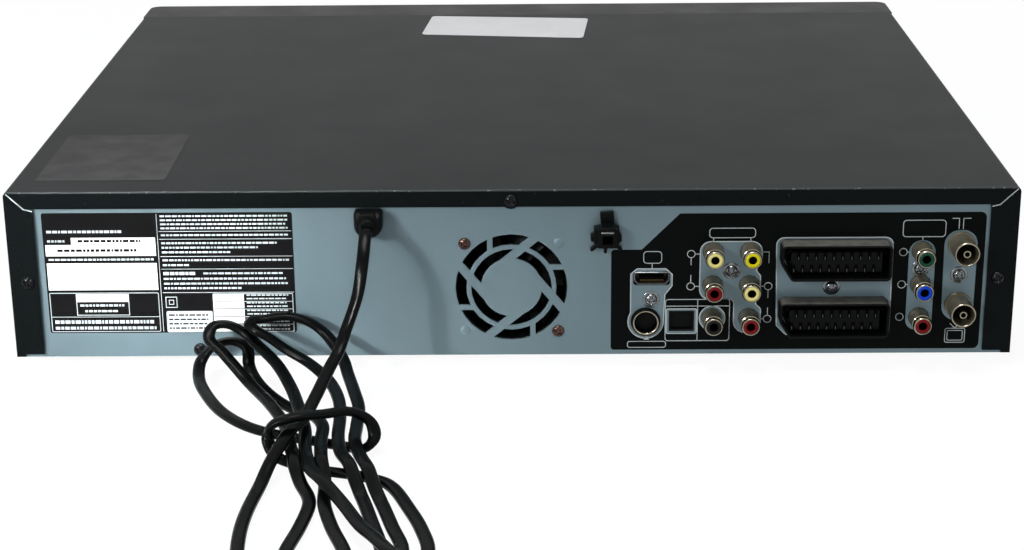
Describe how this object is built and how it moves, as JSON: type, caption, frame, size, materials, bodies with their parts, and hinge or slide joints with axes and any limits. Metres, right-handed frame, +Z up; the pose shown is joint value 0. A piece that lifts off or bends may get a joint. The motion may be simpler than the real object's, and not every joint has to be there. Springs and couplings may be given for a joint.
{
  "type": "disc and tape combination player",
  "caption": "Low black home video player with a disc tray, a cassette deck, a fan-cooled rear panel of sockets and a fixed mains lead.",
  "frame": {"origin": "centre of the case's outline, socket reach included, on the plane that the four feet stand on", "axes": "+X to the left of someone who looks at the rear panel, -Y out of the front panel, +Z up"},
  "size_m": [0.43, 0.6212, 0.0801],
  "materials": {
    "black_paint": "satin",
    "zinc_sheet": "satin",
    "black_plastic": "satin",
    "smoked_lens": "gloss",
    "rubber": "matt",
    "cord_sheath": "satin",
    "black_screw": "satin",
    "steel": "bright",
    "nickel": "bright",
    "board_green": "satin",
    "board_brown": "matt",
    "aluminium": "satin",
    "ferrite": "matt",
    "grey_plastic": "satin",
    "white_plastic": "satin"
  },
  "bodies": {
    "case": {"top_cover": "black_paint", "rear_panel": "zinc_sheet", "bottom_chassis": "zinc_sheet", "front_bezel": "black_plastic", "display_window": "smoked_lens", "foot_front_left": "rubber", "foot_front_right": "rubber", "foot_rear_left": "rubber", "foot_rear_right": "rubber", "cover_screw_top": "black_screw", "cover_screw_left": "black_screw", "cover_screw_right": "black_screw", "panel_screw_low": "black_screw", "av_jack_block": "black_plastic", "component_jack_block": "black_plastic", "digital_audio_block": "black_plastic", "round_video_socket": "black_plastic", "digital_video_socket": "steel", "multipin_socket_lower": "black_plastic", "multipin_socket_upper": "black_plastic", "tuner_box": "nickel", "cord_grommet": "black_plastic", "power_cord": "cord_sheath", "cord_hank": "cord_sheath", "power_plug": "black_plastic", "cable_clip": "black_plastic", "fan_frame": "black_plastic", "main_board": "board_green", "power_board": "board_brown", "power_transformer": "ferrite", "heat_sink": "aluminium", "front_board": "board_green", "loader_base": "black_plastic", "spindle_motor": "steel", "sled_rail": "steel", "clamp_bridge": "steel", "deck_chassis": "zinc_sheet", "drum_base": "aluminium"},
    "tray": {"disc_tray": "grey_plastic", "tray_front": "black_plastic"},
    "pinion": {"tray_pinion": "white_plastic"},
    "disc_table": {"turntable": "black_plastic"},
    "pickup": {"pickup_sled": "black_plastic"},
    "lead_screw": {"sled_screw": "steel"},
    "sledge": {"carriage_sledge": "steel"},
    "holder": {"cassette_holder": "zinc_sheet"},
    "head_drum": {"drum_rotor": "aluminium"},
    "capstan_shaft": {"capstan": "steel"},
    "pinch_lever": {"pinch_arm": "steel"},
    "pinch_wheel": {"pinch_roller": "rubber"},
    "reel_supply": {"supply_reel": "white_plastic"},
    "reel_take_up": {"take_up_reel": "white_plastic"},
    "fan_wheel": {"fan_rotor": "black_plastic"},
    "door": {"tape_door": "black_plastic"},
    "power_key": {"power_button": "grey_plastic"},
    "disc_eject_key": {"disc_eject_button": "grey_plastic"},
    "tape_eject_key": {"tape_eject_button": "grey_plastic"},
    "play_key": {"play_button": "grey_plastic"},
    "stop_key": {"stop_button": "grey_plastic"},
    "record_key": {"record_button": "grey_plastic"}
  },
  "joints": [
    {"name": "tray_slide", "type": "slide", "parent": "case", "child": "tray", "axis": [0, -1, 0], "range_m": [0, 0.128]},
    {"name": "tray_pinion_spin", "type": "hinge", "parent": "case", "child": "pinion", "pos_m": [0.15, -0.16385, 0.0275], "axis": [0, 0, 1], "range_deg": [0, 1223]},
    {"name": "turntable_spin", "type": "hinge", "parent": "case", "child": "disc_table", "pos_m": [0.096, -0.12185, 0.026], "axis": [0, 0, 1], "continuous": true},
    {"name": "sled_slide", "type": "slide", "parent": "case", "child": "pickup", "axis": [0, 1, 0], "range_m": [0, 0.03]},
    {"name": "sled_screw_spin", "type": "hinge", "parent": "case", "child": "lead_screw", "pos_m": [0.12, -0.07685, 0.0215], "axis": [0, 1, 0], "range_deg": [0, 3600]},
    {"name": "carriage_in", "type": "slide", "parent": "case", "child": "sledge", "axis": [0, 1, 0], "range_m": [0, 0.04]},
    {"name": "holder_drop", "type": "slide", "parent": "sledge", "child": "holder", "axis": [0, 0, -1], "range_m": [0, 0.014]},
    {"name": "drum_spin", "type": "hinge", "parent": "case", "child": "head_drum", "pos_m": [-0.106, 0.02035, 0.0425], "axis": [0, 0, 1], "continuous": true},
    {"name": "capstan_spin", "type": "hinge", "parent": "case", "child": "capstan_shaft", "pos_m": [-0.054, -0.00165, 0.035], "axis": [0, 0, 1], "continuous": true},
    {"name": "pinch_swing", "type": "hinge", "parent": "case", "child": "pinch_lever", "pos_m": [-0.03, -0.00965, 0.0395], "axis": [0, 0, 1], "range_deg": [0, 25]},
    {"name": "pinch_roller_spin", "type": "hinge", "parent": "pinch_lever", "child": "pinch_wheel", "pos_m": [-0.04031, 0.00967, 0.0488], "axis": [0, 0, 1], "continuous": true},
    {"name": "supply_reel_spin", "type": "hinge", "parent": "case", "child": "reel_supply", "pos_m": [-0.152, -0.05965, 0.03], "axis": [0, 0, 1], "continuous": true},
    {"name": "take_up_reel_spin", "type": "hinge", "parent": "case", "child": "reel_take_up", "pos_m": [-0.06, -0.05965, 0.03], "axis": [0, 0, 1], "continuous": true},
    {"name": "fan_spin", "type": "hinge", "parent": "case", "child": "fan_wheel", "pos_m": [0, 0.1703, 0.036], "axis": [0, 1, 0], "continuous": true},
    {"name": "door_swing", "type": "hinge", "parent": "case", "child": "door", "pos_m": [-0.106, -0.19095, 0.0739], "axis": [1, 0, 0], "range_deg": [0, 80], "stiffness_Nm_per_rad": 0.02, "springref_deg": -17.19},
    {"name": "power_press", "type": "slide", "parent": "case", "child": "power_key", "axis": [0, 1, 0], "range_m": [0, 0.001], "stiffness_N_per_m": 600},
    {"name": "disc_eject_press", "type": "slide", "parent": "case", "child": "disc_eject_key", "axis": [0, 1, 0], "range_m": [0, 0.001], "stiffness_N_per_m": 600},
    {"name": "tape_eject_press", "type": "slide", "parent": "case", "child": "tape_eject_key", "axis": [0, 1, 0], "range_m": [0, 0.001], "stiffness_N_per_m": 600},
    {"name": "play_press", "type": "slide", "parent": "case", "child": "play_key", "axis": [0, 1, 0], "range_m": [0, 0.001], "stiffness_N_per_m": 600},
    {"name": "stop_press", "type": "slide", "parent": "case", "child": "stop_key", "axis": [0, 1, 0], "range_m": [0, 0.001], "stiffness_N_per_m": 600},
    {"name": "record_press", "type": "slide", "parent": "case", "child": "record_key", "axis": [0, 1, 0], "range_m": [0, 0.001], "stiffness_N_per_m": 600}
  ],
  "couplings": [
    {"joint": "tray_pinion_spin", "follows": "tray_slide", "rad_per_m": 166.67},
    {"joint": "sled_screw_spin", "follows": "sled_slide", "rad_per_m": 2094.3}
  ]
}
